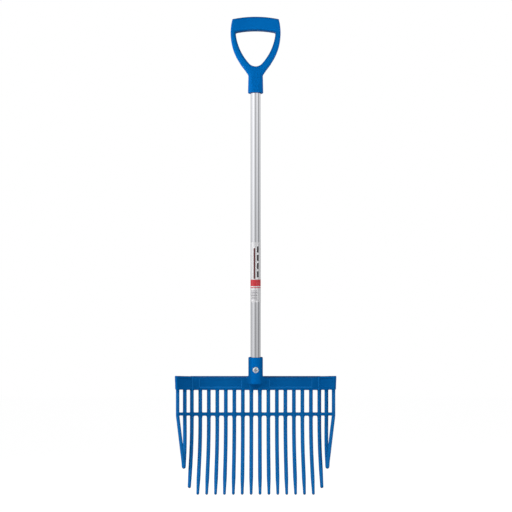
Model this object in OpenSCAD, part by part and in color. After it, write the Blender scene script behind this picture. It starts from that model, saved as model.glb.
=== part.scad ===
// Manure fork: a moulded head on an aluminium tube with a moulded D-grip.
// Millimetres. The origin is the point the fork hangs by, the middle of the underside of the grip's
// cross bar. +Z runs up along the shaft and the front of the fork faces -Y.

/* [Shaft] */
// Outside diameter of the tube
shaft_d = 25; // [22:0.5:28]
// Wall of the tube
shaft_wall = 1.5; // [1.2:0.1:2.5]
// Length of tube in sight between the grip and the head
shaft_show = 654.5; // [530:0.5:900]
// Length of tube inside the grip
grip_insert = 40; // [32:1:44]
// Length of tube inside the head
head_insert = 58; // [50:1:66]

/* [Grip] */
// Width over the two arms
grip_w = 123; // [116:1:140]
// Depth of the grip from front to back
grip_depth = 26; // [22:0.5:30]
// Rounding of the outer edges
grip_edge = 5.5; // [3:0.5:6]
// Height of the cross bar in the middle
grip_bar_h = 33; // [28:0.5:40]
// Radius of the arched underside of the cross bar
grip_arch_r = 248; // [200:1:400]
// Widest part of the hand opening
opening_w = 99.5; // [90:0.5:105]
// Height of the hand opening
opening_h = 89; // [80:1:100]
// Radius at the bottom of the hand opening
opening_bottom_r = 19.5; // [16:0.5:24]
// Height of plastic from the opening down to the point where the arms run into the sleeve
yoke_h = 14.5; // [13:0.5:22]
// Length of the sleeve below that point
sleeve_len = 51.5; // [48:0.5:70]
// Wall of the sleeve at its neck
sleeve_wall = 5.2; // [4:0.1:7]
// How much wider the sleeve is at its mouth
sleeve_flare = 2.4; // [1:0.1:4]

/* [Header] */
// Height of the header bar
bar_h = 30.5; // [24:0.5:36]
// Wall of the cored header bar
bar_wall = 4; // [3:0.1:5]
// Angle by which the side wings turn forward
wing_angle = 38; // [25:1:45]
// Thickness of the side wings
wing_t = 9.4; // [8.6:0.1:11]
// Rise of the lower edge of a wing at its end
wing_rise = 5; // [2:0.5:7]
// Further rise of the upper edge of a wing at its end
wing_flare = 2; // [1:0.5:7]
// Plastic past the outermost tine
wing_end = 5.6; // [4.6:0.1:9]
// Depth of the shallow panels in the front
panel_depth = 0.8; // [0.4:0.1:1.4]

/* [Socket] */
// Wall of the socket
socket_wall = 4.9; // [4:0.1:7]
// Length of socket above the header bar
socket_show = 50.5; // [48:0.5:70]
// How far the round of the socket runs down the header bar
socket_tail = 16; // [14:0.5:20]
// Radius that blends the socket into the header bar
socket_blend = 10; // [6:0.5:14]

/* [Tines] */
// Distance from tine to tine
tine_pitch = 21.1; // [18:0.1:24]
// Thickness of a tine
tine_d = 8; // [6.6:0.1:8.4]
// Thickness of a tine at its tip
tip_d = 5; // [4:0.1:6]
// Straight length below the header bar
tine_straight = 74; // [70:1:90]
// Radius of the bend
bend_r = 125; // [100:1:200]
// Angle of the bend
bend_angle = 46; // [30:1:50]
// Straight length from the bend to the tip
tip_len = 98; // [70:1:130]
// How much shorter the two corner tines are
corner_short = 19; // [0:1:30]
// Straight length of the side tines from the bend to the tip
side_tip_len = 22; // [16:1:40]
// Thickness of a side tine at its tip
side_tip_d = 7.2; // [6:0.1:7.8]
// Thickness of the strut outside a side tine
strut_d = 7.4; // [6:0.1:7.8]

/* [Cross rib] */
// Distance from the header bar down to the middle of the rib
rib_drop = 60; // [45:0.5:62]
// Height of the rib
rib_h = 7.5; // [5:0.1:10]
// Depth of the rib from front to back
rib_depth = 6; // [4:0.1:7]

/* [Fasteners] */
// Thread diameter of the head screw
screw_d = 6; // [5:0.5:8]
// Collar diameter of the head screw
screw_head_d = 15; // [13:0.5:16]
// Distance from the socket's rim down to the head screw
screw_drop = 30; // [24:0.5:34]
// Shank diameter of the grip screw
grip_screw_d = 4; // [3:0.5:5]
// Distance from the sleeve's mouth up to the grip screw
grip_screw_rise = 18; // [12:0.5:24]

/* [Label] */
// Length of the label on the tube
label_len = 149; // [60:1:200]
// Distance from the sleeve's mouth down to the label
label_drop = 369; // [40:1:380]
// How far the label wraps round the tube, in degrees
label_wrap = 230; // [120:5:330]
// Thickness of the label
label_t = 0.25; // [0.2:0.05:0.5]

/* [Fits] */
// Gap all round between the tube and its two sockets
tube_fit = 0.1; // [0.05:0.05:0.3]
// Gap all round between a screw and its hole
screw_fit = 0.2; // [0.1:0.05:0.4]

/* [Hidden] */
$fn = 96;
BLUE = [0, 0.36, 0.67];
SILVER = [0.80, 0.81, 0.83];
ZINC = [0.72, 0.73, 0.75];
WHITE = [0.95, 0.95, 0.95];
// Overlap that makes cuts run clear of a face
past = 1;

// Tines in the main row, and side tines beyond it on each side
TINES = 16;
HALF = TINES / 2;
// The corner tine stands this far past the corner between bar and wing
corner_past = 1.25;
corner_x = (HALF - 0.5) * tine_pitch - corner_past;
wing_len = corner_past + 2 * tine_pitch + wing_end;

// Heights along the shaft
shoulder_z = -opening_h - yoke_h;
mouth_z = shoulder_z - sleeve_len;
rim_z = mouth_z - shaft_show;
bar_top = rim_z - socket_show;
bar_low = bar_top - bar_h;
screw_z = rim_z - screw_drop;
grip_screw_z = mouth_z + grip_screw_rise;
rib_z = bar_low - rib_drop;

// Radii round the shaft axis
bore_r = shaft_d / 2 + tube_fit;
socket_r = bore_r + socket_wall;
neck_r = bore_r + sleeve_wall;
mouth_r = neck_r + sleeve_flare / 2;
// The flat seats of the screws lie this far below the round surface at their edges
seat_sink = 0.3;
screw_seat = seat_depth(socket_r, screw_head_d + past);
washer_d = 2.1 * screw_d;
washer_t = 1.6;
washer_seat = seat_depth(socket_r, washer_d + past);
nut_h = screw_d;
nut_af = 10 / 6 * screw_d;
thread_past = 2;
grip_screw_head_d = 2 * grip_screw_d;
sleeve_r_at_screw = mouth_r - (mouth_r - neck_r) * grip_screw_rise / sleeve_len;
grip_screw_seat = seat_depth(sleeve_r_at_screw, grip_screw_head_d + past);

// The grip's sides are arcs, widest a little below the underside of the cross bar outside,
// and a little above it inside
arm_level = -6.8;
opening_level = 4.8;
half_w = grip_w / 2;
half_open = opening_w / 2;
side_r = (pow(half_w - neck_r, 2) + pow(arm_level - shoulder_z, 2)) / (2 * (half_w - neck_r));
opening_reach = opening_h + opening_level - opening_bottom_r;
opening_side_r = (pow(half_open, 2) + pow(opening_reach, 2) - pow(opening_bottom_r, 2))
    / (2 * (half_open - opening_bottom_r));

// Where the header bar ends and how deep it is: its back lies a little behind the socket
back_past = 0.5;
bar_front = -wing_t / 2;
bar_back = socket_r + back_past;
mitre = tan(wing_angle / 2);

// The bend of a tine is this much thinner than its straight ends, which close over it by as much
bend_ease = 0.2;

// Distance from the axis of a round body of radius r to a flat seat of diameter d in its side
function seat_depth(r, d) = sqrt(pow(r, 2) - pow(d / 2, 2)) - seat_sink;
function tine_name(k) = str("tine_", k < 9 ? "0" : "", k + 1);
// Side of the fork and place along its half of the row, counted from the middle
function side_of(k) = k < HALF ? -1 : 1;
function place_of(k) = k < HALF ? HALF - 1 - k : k - HALF;
function along(i) = (i + 0.5) * tine_pitch;
function wing_part(i) = max(0, along(i) - corner_x);
// Position of a tine in plan, and its rise on the wing
function spot(i) = [
    min(along(i), corner_x) + wing_part(i) * cos(wing_angle),
    -wing_part(i) * sin(wing_angle)
];
function rise(i) = wing_rise * wing_part(i) / wing_len;

// Turns a part drawn along Z so that it runs along Y, from front to back
module along_y() {
    rotate([-90, 0, 0]) children();
}

// Rectangle about the origin with rounded corners
module rounded_square(w, h, r) {
    square([w - 2 * r, h], center = true);
    square([w, h - 2 * r], center = true);
    for (x = [-1, 1], y = [-1, 1])
        translate([x * (w / 2 - r), y * (h / 2 - r)])
            circle(r = r);
}

// Right half of a rounded rectangle, for turning round its left side
module rounded_half(r, h, edge) {
    intersection() {
        rounded_square(2 * r, h, edge);
        translate([0, -h])
            square([r + past, 2 * h]);
    }
}

// Disc across the grip with a rounded rim, its axis from front to back at [x, z]
module rounded_disc(x, z, r) {
    translate([x, 0, z])
        along_y()
            rotate_extrude()
                rounded_half(r, grip_depth, grip_edge);
}

// The lens of the two arms and the arched top
module grip_blank() {
    intersection() {
        rounded_disc(half_w - side_r, arm_level, side_r);
        rounded_disc(side_r - half_w, arm_level, side_r);
        rounded_disc(0, -grip_arch_r, grip_arch_r + grip_bar_h);
    }
}

// Disc of the hand opening's outline, drawn in X and Z
module opening_disc(x, z, r) {
    translate([x, z])
        circle(r = r);
}

// Hand opening: a lens under the arched bar with a round bottom
module hand_opening() {
    bottom_z = opening_bottom_r - opening_h;
    aim = [opening_side_r - half_open, bottom_z - opening_level] * 2;
    plate(2 * grip_depth) {
        intersection() {
            opening_disc(half_open - opening_side_r, opening_level, opening_side_r);
            opening_disc(opening_side_r - half_open, opening_level, opening_side_r);
            opening_disc(0, -grip_arch_r, grip_arch_r);
            polygon([
                [0, bottom_z], [aim[0], bottom_z + aim[1]], [grip_w, grip_bar_h],
                [-grip_w, grip_bar_h], [-aim[0], bottom_z + aim[1]]
            ]);
        }
        opening_disc(0, bottom_z, opening_bottom_r);
    }
}

// Hole for the grip screw, with a flat seat for its head behind
module grip_screw_hole() {
    hole_r = grip_screw_d / 2 + screw_fit;
    head_r = (grip_screw_head_d + past) / 2;
    clear = 2 * mouth_r;
    translate([0, 0, grip_screw_z])
        along_y()
            rotate_extrude()
                polygon([
                    [0, 0], [hole_r, 0], [hole_r, grip_screw_seat],
                    [head_r, grip_screw_seat], [head_r, clear], [0, clear]
                ]);
}

module grip() {
    color(BLUE)
    difference() {
        union() {
            difference() {
                grip_blank();
                hand_opening();
            }
            translate([0, 0, mouth_z])
                cylinder(h = sleeve_len, r1 = mouth_r, r2 = neck_r);
        }
        translate([0, 0, mouth_z - past])
            cylinder(h = grip_insert + past, r = bore_r);
        grip_screw_hole();
    }
}

// Pan head outside, shank through the sleeve and one wall of the tube
module grip_screw() {
    head_h = 0.6 * grip_screw_d;
    shank = grip_screw_seat - (shaft_d / 2 - shaft_wall) + thread_past;
    color(ZINC)
    translate([0, grip_screw_seat, grip_screw_z])
        along_y()
            difference() {
                union() {
                    translate([0, 0, -shank])
                        cylinder(h = shank, d = grip_screw_d);
                    cylinder(h = head_h, d1 = grip_screw_head_d, d2 = 0.8 * grip_screw_head_d);
                }
                cross_recess(0.9 * grip_screw_d, head_h);
            }
}

// Cross-shaped driver recess, cut down from height h
module cross_recess(size, h) {
    for (turn = [0, 90])
        rotate([0, 0, turn])
            translate([0, 0, h])
                cube([size, size / 4, 1.2 * h], center = true);
}

module shaft_tube() {
    low = rim_z - head_insert;
    high = mouth_z + grip_insert;
    color(SILVER)
    difference() {
        translate([0, 0, low])
            cylinder(h = high - low, d = shaft_d);
        translate([0, 0, low - past])
            cylinder(h = high - low + 2 * past, d = shaft_d - 2 * shaft_wall);
        translate([0, -shaft_d, screw_z])
            along_y()
                cylinder(h = 2 * shaft_d, d = screw_d + 2 * screw_fit);
        translate([0, 0, grip_screw_z])
            along_y()
                cylinder(h = shaft_d, d = grip_screw_d + 2 * screw_fit);
    }
}

// Thin label, wrapped round the front of the tube
module shaft_label() {
    color(WHITE)
    translate([0, 0, mouth_z - label_drop - label_len])
        rotate([0, 0, -90 - label_wrap / 2])
            rotate_extrude(angle = label_wrap)
                translate([shaft_d / 2, 0])
                    square([label_t, label_len]);
}

// Moves a part from the right wing's own frame into place on one side:
// X along the wing from the corner, Y through its thickness
module on_wing(side) {
    mirror([side < 0 ? 1 : 0, 0, 0])
        translate([corner_x, 0, 0])
            rotate([0, 0, -wing_angle])
                children();
}

// Draws a shape given in X and Z, and gives it depth along Y about y = 0
module plate(depth) {
    rotate([90, 0, 0])
        linear_extrude(depth, center = true)
            children();
}

module bar_block() {
    front_x = corner_x + bar_front * mitre;
    back_x = corner_x + bar_back * mitre;
    translate([0, 0, bar_low])
        linear_extrude(bar_h)
            polygon([[-front_x, bar_front], [front_x, bar_front], [back_x, bar_back], [-back_x, bar_back]]);
}

// One wing, taller and higher at its end, which leans out a little towards the top
module wing_block(side) {
    root = 3;
    lean = 1;
    end_low = bar_low + wing_rise;
    end_top = bar_top + wing_rise + wing_flare;
    on_wing(side)
        plate(wing_t)
            polygon([
                [-root, bar_low], [0, bar_low],
                [wing_len - lean, end_low], [wing_len, end_top],
                [0, bar_top], [-root, bar_top]
            ]);
}

// Everything that the tops of the tines run up against
module header_blank() {
    bar_block();
    for (side = [-1, 1])
        wing_block(side);
}

// Round socket with a tail that dies into the front of the header bar, and a blend on each side
module socket_blank() {
    tail_taper = 8;
    blend_x = sqrt(pow(socket_r + socket_blend, 2) - pow(socket_blend - bar_front, 2));
    tail_z = bar_top - socket_tail;
    translate([0, 0, tail_z])
        cylinder(h = rim_z - tail_z, r = socket_r);
    translate([0, 0, tail_z - tail_taper])
        cylinder(h = tail_taper, r1 = socket_r - tail_taper, r2 = socket_r);
    translate([0, 0, tail_z])
        linear_extrude(socket_tail)
            for (side = [-1, 1])
                difference() {
                    polygon([[0, 0], [side * blend_x, bar_front - socket_blend], [side * blend_x, bar_front]]);
                    translate([side * blend_x, bar_front - socket_blend])
                        circle(r = socket_blend);
                }
}

// Pockets cored into the back of the header bar, with a rib between one and the next
module header_pockets() {
    pockets = 3;
    pocket_r = 2;
    rib = 3;
    inner = socket_r + bar_wall;
    outer = corner_x - bar_wall;
    step = (outer - inner + rib) / pockets;
    for (side = [-1, 1], n = [0 : pockets - 1])
        translate([side * (inner + n * step + (step - rib) / 2), bar_back + past, (bar_top + bar_low) / 2])
            rotate([90, 0, 0])
                linear_extrude(bar_back - bar_front - bar_wall + past)
                    rounded_square(step - rib, bar_h - 2 * bar_wall, pocket_r);
}

// Shallow panels in the front of the bar and of the wings
module front_panels() {
    margin = 3.2;
    inner = 34;
    corner_in = 17;
    outer = corner_x - corner_in;
    panel_r = 2;
    panel_h = bar_h - 2 * margin;
    mid_z = (bar_top + bar_low) / 2;
    wing_in = 5;
    for (side = [-1, 1]) {
        translate([side * (inner + outer) / 2, bar_front, mid_z])
            plate(2 * panel_depth)
                rounded_square(outer - inner, panel_h, panel_r);
        on_wing(side)
            translate([wing_len / 2, -wing_t / 2, mid_z + wing_rise / 2 + wing_flare / 4])
                plate(2 * panel_depth)
                    rounded_square(wing_len - 2 * wing_in, panel_h, panel_r);
    }
}

// Hole for the head screw, with a flat seat for its head in front and for its washer behind
module screw_hole() {
    hole_r = screw_d / 2 + screw_fit;
    head_r = (screw_head_d + past) / 2;
    washer_r = (washer_d + past) / 2;
    clear = 2 * socket_r;
    translate([0, 0, screw_z])
        along_y()
            rotate_extrude()
                polygon([
                    [0, -clear], [head_r, -clear], [head_r, -screw_seat], [hole_r, -screw_seat],
                    [hole_r, washer_seat], [washer_r, washer_seat], [washer_r, clear], [0, clear]
                ]);
}

module head_body() {
    color(BLUE)
    difference() {
        union() {
            header_blank();
            socket_blank();
        }
        header_pockets();
        front_panels();
        translate([0, 0, rim_z - head_insert])
            cylinder(h = head_insert + past, r = bore_r);
        screw_hole();
    }
}

// Collar screw through the socket and the tube, its head in front
module head_screw() {
    collar_h = 1.3;
    dome_h = 2.9;
    dome_d = 0.76 * screw_head_d;
    dome_r = (pow(dome_d / 2, 2) + pow(dome_h, 2)) / (2 * dome_h);
    grip_len = screw_seat + washer_seat + washer_t + nut_h + thread_past;
    color(ZINC)
    translate([0, -screw_seat, screw_z])
        rotate([90, 0, 0])
            difference() {
                union() {
                    translate([0, 0, -grip_len])
                        cylinder(h = grip_len, d = screw_d);
                    cylinder(h = collar_h, d = screw_head_d);
                    intersection() {
                        translate([0, 0, collar_h + dome_h - dome_r])
                            sphere(r = dome_r);
                        cylinder(h = 2 * dome_h, d = dome_d);
                    }
                }
                cross_recess(screw_d, collar_h + dome_h);
            }
}

module head_washer() {
    color(ZINC)
    translate([0, washer_seat, screw_z])
        along_y()
            difference() {
                cylinder(h = washer_t, d = washer_d);
                translate([0, 0, -past])
                    cylinder(h = washer_t + 2 * past, d = screw_d + 2 * screw_fit);
            }
}

// Hexagon lock nut with a round collar
module head_nut() {
    hex_h = 0.7 * nut_h;
    color(ZINC)
    translate([0, washer_seat + washer_t, screw_z])
        along_y()
            difference() {
                union() {
                    cylinder(h = hex_h, d = nut_af / cos(30), $fn = 6);
                    cylinder(h = nut_h, d = 0.92 * nut_af);
                }
                translate([0, 0, -past])
                    cylinder(h = nut_h + 2 * past, d = screw_d + screw_fit / 2);
            }
}

// One tine, hanging from the origin: straight, bent forward, then tapering to a round tip
module tine_shape(tip, end_d, extra = 0) {
    translate([0, 0, -tine_straight - bend_ease])
        cylinder(h = tine_straight + extra + bend_ease, d = tine_d);
    translate([0, -bend_r, -tine_straight]) {
        rotate([90, 0, 90])
            rotate([0, 0, -bend_angle])
                rotate_extrude(angle = bend_angle)
                    translate([bend_r, 0])
                        circle(d = tine_d - bend_ease);
        rotate([-bend_angle, 0, 0])
            translate([0, bend_r, bend_ease])
                tine_tip(tip + bend_ease, end_d);
    }
}

// Tapering end of a tine, hanging from the origin
module tine_tip(len, end_d) {
    rotate_extrude() {
        polygon([[0, 0], [tine_d / 2, 0], [end_d / 2, -len], [0, -len]]);
        translate([0, -len])
            intersection() {
                circle(d = end_d);
                translate([0, -end_d])
                    square([end_d, end_d + past / 10]);
            }
    }
}

// A tine of the main row in its place
module placed_tine(k) {
    i = place_of(k);
    corner = i == HALF - 1;
    at = spot(i);
    translate([side_of(k) * at[0], at[1], bar_low])
        tine_shape(corner ? tip_len - corner_short : tip_len, tip_d, corner ? past : 0);
}

module tine(k) {
    color(BLUE)
    if (place_of(k) == HALF - 1)
        difference() {
            placed_tine(k);
            header_blank();
        }
    else
        placed_tine(k);
}

// Straight eight-sided rod from a to b
module rod(a, b, d) {
    run = b - a;
    translate(a)
        rotate([0, acos(run[2] / norm(run)), atan2(run[1], run[0])])
            cylinder(h = norm(run), d = d, $fn = 8);
}

// Side tine with the outer strut that runs in to its tip
module side_tine_blank(side) {
    in = spot(HALF);
    out = spot(HALF + 1);
    low = bar_low + rise(HALF);
    strut_reach = side_tip_len - side_tip_d / 2;
    // The round at the elbow covers the corners of the two rods that meet in it
    elbow_d = 1.05 * strut_d;
    elbow = [side * out[0], out[1], rib_z + rise(HALF + 1) - rib_h / 2];
    top = [side * out[0], out[1], bar_low + wing_rise];
    meet = [
        side * in[0],
        in[1] - bend_r * (1 - cos(bend_angle)) - strut_reach * sin(bend_angle),
        low - tine_straight - bend_r * sin(bend_angle) - strut_reach * cos(bend_angle)
    ];
    translate([side * in[0], in[1], low])
        tine_shape(side_tip_len, side_tip_d, wing_rise);
    rod(elbow, top, strut_d);
    translate(elbow)
        sphere(d = elbow_d);
    rod(elbow, meet, strut_d);
}

module side_tine(side) {
    color(BLUE)
    difference() {
        side_tine_blank(side);
        wing_block(side);
    }
}

// One bay of the rib from tine i to tine i + 1, with an arched underside in the main row
module rib_bay(side, i) {
    a = spot(i);
    b = spot(i + 1);
    run = norm(b - a);
    arch_r = (run - tine_d) / 2;
    arch_drop = i + 1 < HALF ? 0.7 * arch_r : 0;
    mid = (a + b) / 2;
    mirror([side < 0 ? 1 : 0, 0, 0])
        translate([mid[0], mid[1], rib_z + (rise(i) + rise(i + 1)) / 2])
            rotate([0, 0, atan2(b[1] - a[1], b[0] - a[0])])
                plate(rib_depth)
                    difference() {
                        translate([-run / 2, -rib_h / 2 - arch_drop])
                            square([run, rib_h + arch_drop]);
                        if (arch_drop > 0)
                            translate([0, -rib_h / 2 - arch_r])
                                circle(r = arch_r);
                    }
}

// The bays meet the tines face to face
module cross_rib() {
    color(BLUE)
    difference() {
        union() {
            rib_bay(1, -1);
            for (side = [-1, 1], i = [0 : HALF])
                rib_bay(side, i);
        }
        for (k = [0 : TINES - 1])
            placed_tine(k);
        for (side = [-1, 1])
            side_tine_blank(side);
    }
}

grip();
grip_screw();
shaft_tube();
shaft_label();
head_body();
cross_rib();
side_tine(-1);  // side_tine_left
side_tine(1);  // side_tine_right
head_screw();
head_washer();
head_nut();
for (k = [0 : TINES - 1])
    tine(k);
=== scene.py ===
# Manure fork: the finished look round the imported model.
# Sizes are millimetres in the part's own frame until a mesh is made, and metres after that.
import math

import bpy
import numpy as np
import openvdb
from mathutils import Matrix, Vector


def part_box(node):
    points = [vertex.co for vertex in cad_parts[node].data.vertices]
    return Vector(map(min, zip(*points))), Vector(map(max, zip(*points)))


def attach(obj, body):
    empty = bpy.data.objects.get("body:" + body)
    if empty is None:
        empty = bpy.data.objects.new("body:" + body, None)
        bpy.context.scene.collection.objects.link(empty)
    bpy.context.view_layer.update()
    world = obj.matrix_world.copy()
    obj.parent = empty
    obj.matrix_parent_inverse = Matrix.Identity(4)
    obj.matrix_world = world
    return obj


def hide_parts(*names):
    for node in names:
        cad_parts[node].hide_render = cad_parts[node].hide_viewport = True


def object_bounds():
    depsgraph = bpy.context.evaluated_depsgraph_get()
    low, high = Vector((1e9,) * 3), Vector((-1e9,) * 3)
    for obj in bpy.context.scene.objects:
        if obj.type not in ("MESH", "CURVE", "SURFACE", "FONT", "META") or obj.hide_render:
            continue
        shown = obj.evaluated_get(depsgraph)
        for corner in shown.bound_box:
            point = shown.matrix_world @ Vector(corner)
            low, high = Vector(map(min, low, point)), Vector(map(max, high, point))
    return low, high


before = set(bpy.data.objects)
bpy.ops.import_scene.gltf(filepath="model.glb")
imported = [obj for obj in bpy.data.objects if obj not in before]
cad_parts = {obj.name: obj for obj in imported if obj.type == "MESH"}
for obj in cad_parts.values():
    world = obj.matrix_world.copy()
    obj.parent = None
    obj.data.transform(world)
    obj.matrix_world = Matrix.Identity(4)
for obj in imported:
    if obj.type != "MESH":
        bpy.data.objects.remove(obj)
cad_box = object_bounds()

MM = 0.001
BODY = "root"

# Shaft
TUBE_R = 12.5
TUBE_WALL = 1.5
TUBE_CHAMFER = 0.3
BORE_R = 12.6

# Grip, from the top down: the origin is the underside of the cross bar
BAR_TOP = 32.95
ARCH_R = 248.0
HALF_W = 61.9
ARM_LEVEL = -6.8
HALF_OPEN = 49.75
OPEN_LEVEL = 4.8
OPEN_H = 89.6
OPEN_BOTTOM_R = 21.5
OPEN_DROP = OPEN_H + OPEN_LEVEL - OPEN_BOTTOM_R
OPEN_R = (HALF_OPEN ** 2 + OPEN_DROP ** 2 - OPEN_BOTTOM_R ** 2) / (2 * (HALF_OPEN - OPEN_BOTTOM_R))
GRIP_HALF_DEPTH = 13.0
GRIP_EDGE = 5.8
YOKE_DEPTH = 12.0
SHOULDER_Z = -103.5
MOUTH_Z = -155.0
NECK_R = 17.8
NECK_Z = -110.0
WEDGE_TOP = -82.0
WEDGE_SLOPE = 0.70
MOUTH_R = 19.0
MOUTH_EDGE = 1.6
SLEEVE_INTO_YOKE = 6.0
FLAT_INSET = 0.8
GRIP_INSERT = 40.0
GRIP_SCREW_Z = -137.0
GRIP_SCREW_D = 4.0
GRIP_SEAT_Y = 17.4
GRIP_HEAD_HALF = 1.2
GRIP_SHANK_HALF = 4.4
GRIP_SHANK_SINK = 0.4

# Head
RIM_Z = -809.5
SCREW_Z = -839.5
HEAD_BAR_TOP = -860.0
HEAD_BAR_LOW = -890.5
HEAD_INSERT = 58.0
SOCKET_R = 17.5
SOCKET_SKIN = 0.5
SOCKET_TAIL_Z = -873.5
SOCKET_EDGE = 1.6
SOCKET_REACH = 60.0
TAIL_STOP = 5.0
RIDGE_Y = -2.6
RIDGE_DROP = 6.0
BAR_FRONT = -4.7
BAR_BACK = 18.0
BAR_WALL = 4.0
POCKETS = 3
POCKET_RIB = 3.0
POCKET_PAST = 2.0
CORNER_X = 157.0
WING_ANGLE = math.radians(38)
WING_LEN = 49.05
WING_T = 9.4
WING_RISE = 5.0
WING_FLARE = 2.0
WING_LEAN = 1.0
WING_ROOT = 3.0
CORNER_LIFT = 1.4
TOP_SLOPE = 0.085
CORNER_SLOPE = 2.4
SLOPE_FALL = 1.6
PANEL_DEPTH = 1.5
PANEL_IN = 34.0
PANEL_OUT = CORNER_X - 17.0
PANEL_TOP = HEAD_BAR_TOP - 3.2
PANEL_LOW = HEAD_BAR_LOW + 6.5
WING_PANEL_HALF = WING_LEN / 2 - 5

# Tines
PITCH = 21.1
TINE_R = 4.75
TIP_R = 3.45
TAPER_LEN = 50.0
STRAIGHT = 74.0
BEND_R = 125.0
BEND_ANGLE = math.radians(46)
TIP_LEN = 96.5
CORNER_SHORT = 19.0
CORNER_TIP_R = 4.0
SIDE_TIP_LEN = 21.4
SIDE_TIP_R = 4.8
SIDE_TAPER_LEN = 40.0
SIDE_LEAN = 1.4
STRUT_R = 4.35
STRUT_INTO_WING = 6.0
ROD_INTO_BAR = 3.0
ROD_REACH = 14.0
ROW = 8
RIB_Z = -950.5
RIB_H = 7.5
RIB_DEPTH = 6.0
RIB_FILLET = 3.6

# Head screw with its washer and nut
SCREW_D = 6.0
SCREW_HEAD_D = 15.0
COLLAR_T = 1.3
DOME_D = 0.76 * SCREW_HEAD_D
DOME_H = 2.9
SHANK_HALF = 20.4
SHANK_SINK = 0.2
THREAD_PITCH = 1.0
THREAD_DEPTH = 0.22
THREAD_TOP = -28.0
DISH_FLOOR = 3.0
DISH_HALF = 2.0
DISH_R = 0.62 * SCREW_D
SLOT_DEPTH = 1.8
WASHER_R = 2.1 * SCREW_D / 2
WASHER_T = 1.6
NUT_HALF_FLATS = 5.0
NUT_HALF_H = 2.1
NUT_BEVEL = 7.35
NUT_COLLAR_R = 4.6
NUT_COLLAR_HALF = 3.0
SEAT_CLEAR = 0.5
SEAT_SINK = 0.3
HOLE_CLEAR = 0.2
NUT_CLEAR = 0.05

# Label
LABEL_TOP = -524.0
LABEL_LEN = 149.0
LABEL_WRAP = math.radians(230)
LABEL_T = 0.25
LABEL_GAP = 0.02
LABEL_CORNER = 4.0

# Sampling: boxes round the mouldings, sample spacing, the share of faces that is kept, and batch sizes
GRIP_BOX = ((-66, -22, -160), (66, 22, 40))
HEAD_BOX = ((-204, -116, -1126), (204, 24, -805))
MOULD_VOXEL = 0.8
SMALL_VOXEL = 0.2
GRIP_KEEP = 0.4
HEAD_KEEP = 0.2
SMALL_KEEP = 0.2
SLAB = 24
GROUP = 4000
FAR = 50.0


# Distance fields: each takes coordinate arrays and gives signed distances, negative inside

def smooth_min(a, b, k):
    """The lesser of two fields, with a blend of width k where they meet."""
    h = np.clip(0.5 + 0.5 * (b - a) / k, 0, 1)
    return b + (a - b) * h - k * h * (1 - h)


def smooth_max(a, b, k):
    """The greater of two fields, with a blend of width k where they meet."""
    return -smooth_min(-a, -b, k)


def smooth_step(low, high, v):
    """0 at low and 1 at high, with an even start and end."""
    t = np.clip((v - low) / (high - low), 0, 1)
    return t * t * (3 - 2 * t)


def disc(u, v, cu, cv, r):
    """Flat disc of radius r about (cu, cv)."""
    return np.hypot(u - cu, v - cv) - r


def rounded_box(u, v, w, half, r):
    """Box about the origin with half sizes half, its edges rounded by r."""
    qu = np.abs(u) - half[0] + r
    qv = np.abs(v) - half[1] + r
    qw = np.abs(w) - half[2] + r
    outside = np.sqrt(np.maximum(qu, 0) ** 2 + np.maximum(qv, 0) ** 2 + np.maximum(qw, 0) ** 2)
    return outside + np.minimum(np.maximum(np.maximum(qu, qv), qw), 0) - r


def rounded_drum(radial, axial, r, half, edge):
    """Cylinder of radius r and half length half, its rims rounded by edge."""
    qr = radial - r + edge
    qa = np.abs(axial) - half + edge
    outside = np.hypot(np.maximum(qr, 0), np.maximum(qa, 0))
    return outside + np.minimum(np.maximum(qr, qa), 0) - edge


def rounded_extrude(flat, across, half, r):
    """Gives a flat shape depth on both sides, with edges rounded by r."""
    qf = flat + r
    qa = np.abs(across) - half + r
    outside = np.hypot(np.maximum(qf, 0), np.maximum(qa, 0))
    return outside + np.minimum(np.maximum(qf, qa), 0) - r


def segment(x, y, z, a, b, r):
    """Rod with round ends from a to b."""
    run = [q - p for p, q in zip(a, b)]
    length2 = sum(c * c for c in run)
    t = ((x - a[0]) * run[0] + (y - a[1]) * run[1] + (z - a[2]) * run[2]) / length2
    t = np.clip(t, 0, 1)
    dx = x - a[0] - t * run[0]
    dy = y - a[1] - t * run[1]
    dz = z - a[2] - t * run[2]
    return np.sqrt(dx * dx + dy * dy + dz * dz) - r


# The D-grip

def grip_outline(x, z):
    """Lens of the two arms under the arched top, with the hand opening cut out."""
    reach = HALF_W - NECK_R
    side_r = (reach ** 2 + (ARM_LEVEL - SHOULDER_Z) ** 2) / (2 * reach)
    arms = disc(np.abs(x), z, HALF_W - side_r, ARM_LEVEL, side_r)
    top = disc(x, z, 0, -ARCH_R, ARCH_R + BAR_TOP)
    outer = smooth_max(arms, top, 1.2)
    # The arms end as a straight wedge that meets the sleeve at the neck
    wedge = (np.abs(x) - NECK_R - WEDGE_SLOPE * (z - NECK_Z)) / math.hypot(1, WEDGE_SLOPE)
    outer = smooth_min(outer, np.maximum(wedge, z - WEDGE_TOP), 2)
    outer = smooth_max(outer, SHOULDER_Z - YOKE_DEPTH - z, 4)
    side = disc(np.abs(x), z, HALF_OPEN - OPEN_R, OPEN_LEVEL, OPEN_R)
    bottom_z = OPEN_BOTTOM_R - OPEN_H
    # Below the two meeting points the round bottom takes over from the sides
    meeting = (z - bottom_z) * (OPEN_R - HALF_OPEN) + np.abs(x) * (OPEN_LEVEL - bottom_z)
    bottom = disc(x, z, 0, bottom_z, OPEN_BOTTOM_R)
    sides = np.where(meeting < 0, bottom, side)
    opening = smooth_max(sides, disc(x, z, 0, -ARCH_R, ARCH_R), 4)
    return smooth_max(outer, -opening, 1)


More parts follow.
